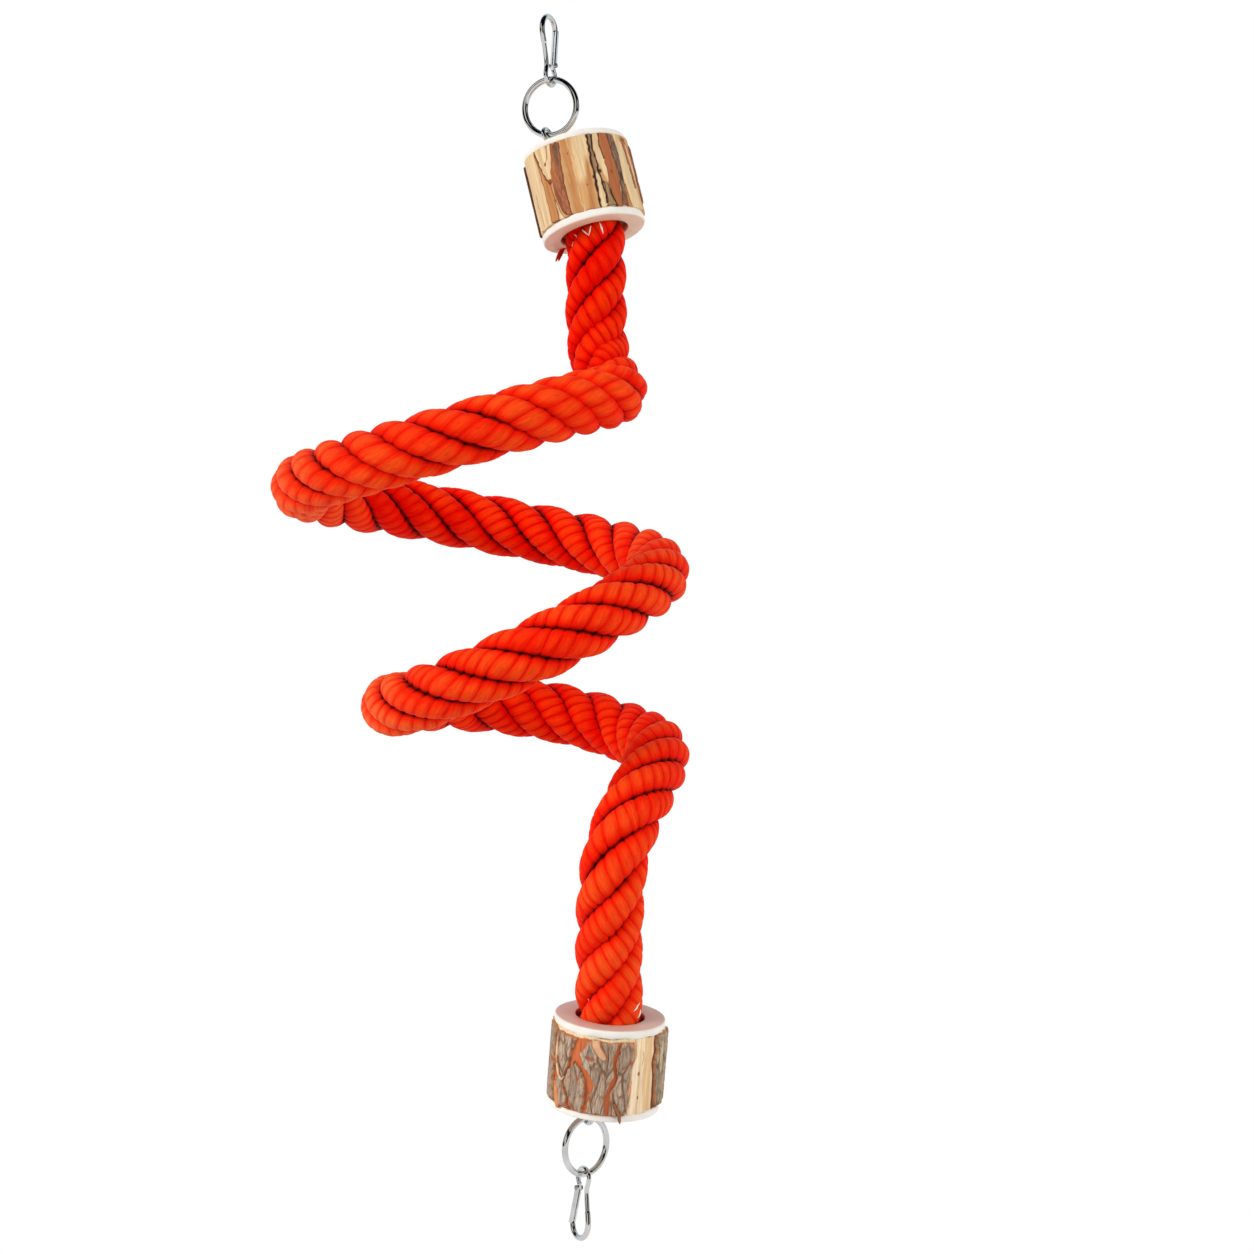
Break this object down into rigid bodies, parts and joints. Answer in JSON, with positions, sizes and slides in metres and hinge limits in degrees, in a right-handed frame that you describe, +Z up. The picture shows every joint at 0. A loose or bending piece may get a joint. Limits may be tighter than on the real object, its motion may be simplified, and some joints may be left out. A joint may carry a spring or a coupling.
{
  "type": "hanging rope bird toy",
  "caption": "Hanging bird perch of thick rope wound into a springy spiral, glued at its ends into bark-covered log blocks with eye bolts, rings and snap clips.",
  "frame": {"origin": "the hang point: the inside of the upper clip's bow, where it hooks over a cage wire", "axes": "+Z up along the hanging line, +X to the right and +Y away from the viewer of the front"},
  "size_m": [0.3108, 0.3112, 0.9081],
  "materials": {
    "rope": "dyed twisted cotton, matte",
    "wood": "bare peeled sapwood",
    "bark": "rough fissured bark",
    "disc": "off-white end plate, satin",
    "bright_metal": "bright nickel plate",
    "steel": "zinc-plated steel",
    "glue": "hard white glue",
    "twine": "waxed twine"
  },
  "bodies": {
    "upper_clip": {"upper_clip_body": "bright_metal", "upper_clip_rivet": "steel"},
    "upper_clip_gate": {"upper_clip_gate": "bright_metal", "upper_clip_spring": "steel"},
    "upper_ring": {"upper_ring": "bright_metal"},
    "upper_end": {"upper_log": "wood", "upper_collar_disc": "disc", "upper_end_disc": "disc", "upper_eye_bolt": "bright_metal", "upper_eye_washer": "steel", "upper_nut_washer": "steel", "upper_lock_nut": "steel", "upper_glue_sleeve": "glue", "upper_rope_whipping": "twine", "upper_bark_1": "bark", "upper_bark_2": "bark", "upper_bark_3": "bark", "upper_bark_4": "bark", "upper_bark_5": "bark", "upper_bark_6": "bark", "rope": "rope", "core_wire": "steel"},
    "lower_end": {"lower_log": "wood", "lower_collar_disc": "disc", "lower_end_disc": "disc", "lower_eye_bolt": "bright_metal", "lower_eye_washer": "steel", "lower_nut_washer": "steel", "lower_lock_nut": "steel", "lower_glue_sleeve": "glue", "lower_rope_whipping": "twine", "lower_bark_1": "bark", "lower_bark_2": "bark", "lower_bark_3": "bark", "lower_bark_4": "bark", "lower_bark_5": "bark", "lower_bark_6": "bark", "lower_bark_7": "bark", "lower_bark_8": "bark", "lower_bark_9": "bark"},
    "lower_ring": {"lower_ring": "bright_metal"},
    "lower_clip": {"lower_clip_body": "bright_metal", "lower_clip_rivet": "steel"},
    "lower_clip_gate": {"lower_clip_gate": "bright_metal", "lower_clip_spring": "steel"}
  },
  "joints": [
    {"name": "upper_gate_hinge", "type": "hinge", "parent": "upper_clip", "child": "upper_clip_gate", "pos_m": [0.00364, 0.00503, -0.03399], "axis": [0.8982, -0.4384, 0.0314], "range_deg": [0, 25], "stiffness_Nm_per_rad": 0.02, "springref_deg": -17.19},
    {"name": "upper_ring_swing", "type": "hinge", "parent": "upper_clip", "child": "upper_ring", "pos_m": [0.00173, 0, -0.04957], "axis": [0.4381, 0.8988, 0.0153], "range_deg": [-35, 35]},
    {"name": "upper_block_swing", "type": "hinge", "parent": "upper_ring", "child": "upper_end", "pos_m": [-0.00078, 0.00095, -0.08667], "axis": [0.9203, -0.3718, -0.1219], "range_deg": [-35, 35]},
    {"name": "coil_stretch", "type": "slide", "parent": "upper_end", "child": "lower_end", "axis": [0, 0, -1], "range_m": [-0.06, 0.12], "stiffness_N_per_m": 250, "springref_m": -0.017, "deforming": ["rope", "core_wire"]},
    {"name": "lower_ring_swing", "type": "hinge", "parent": "lower_end", "child": "lower_ring", "pos_m": [0.02937, -0.03124, -0.81842], "axis": [0.6307, -0.7551, -0.1791], "range_deg": [-35, 35]},
    {"name": "lower_clip_swing", "type": "hinge", "parent": "lower_ring", "child": "lower_clip", "pos_m": [0.02679, -0.03196, -0.85585], "axis": [0.7176, 0.6947, -0.0502], "range_deg": [-40, 40]},
    {"name": "lower_gate_hinge", "type": "hinge", "parent": "lower_clip", "child": "lower_clip_gate", "pos_m": [0.02298, -0.02726, -0.86666], "axis": [-0.8366, -0.5446, 0.0585], "range_deg": [0, 25], "stiffness_Nm_per_rad": 0.02, "springref_deg": -17.19}
  ]
}
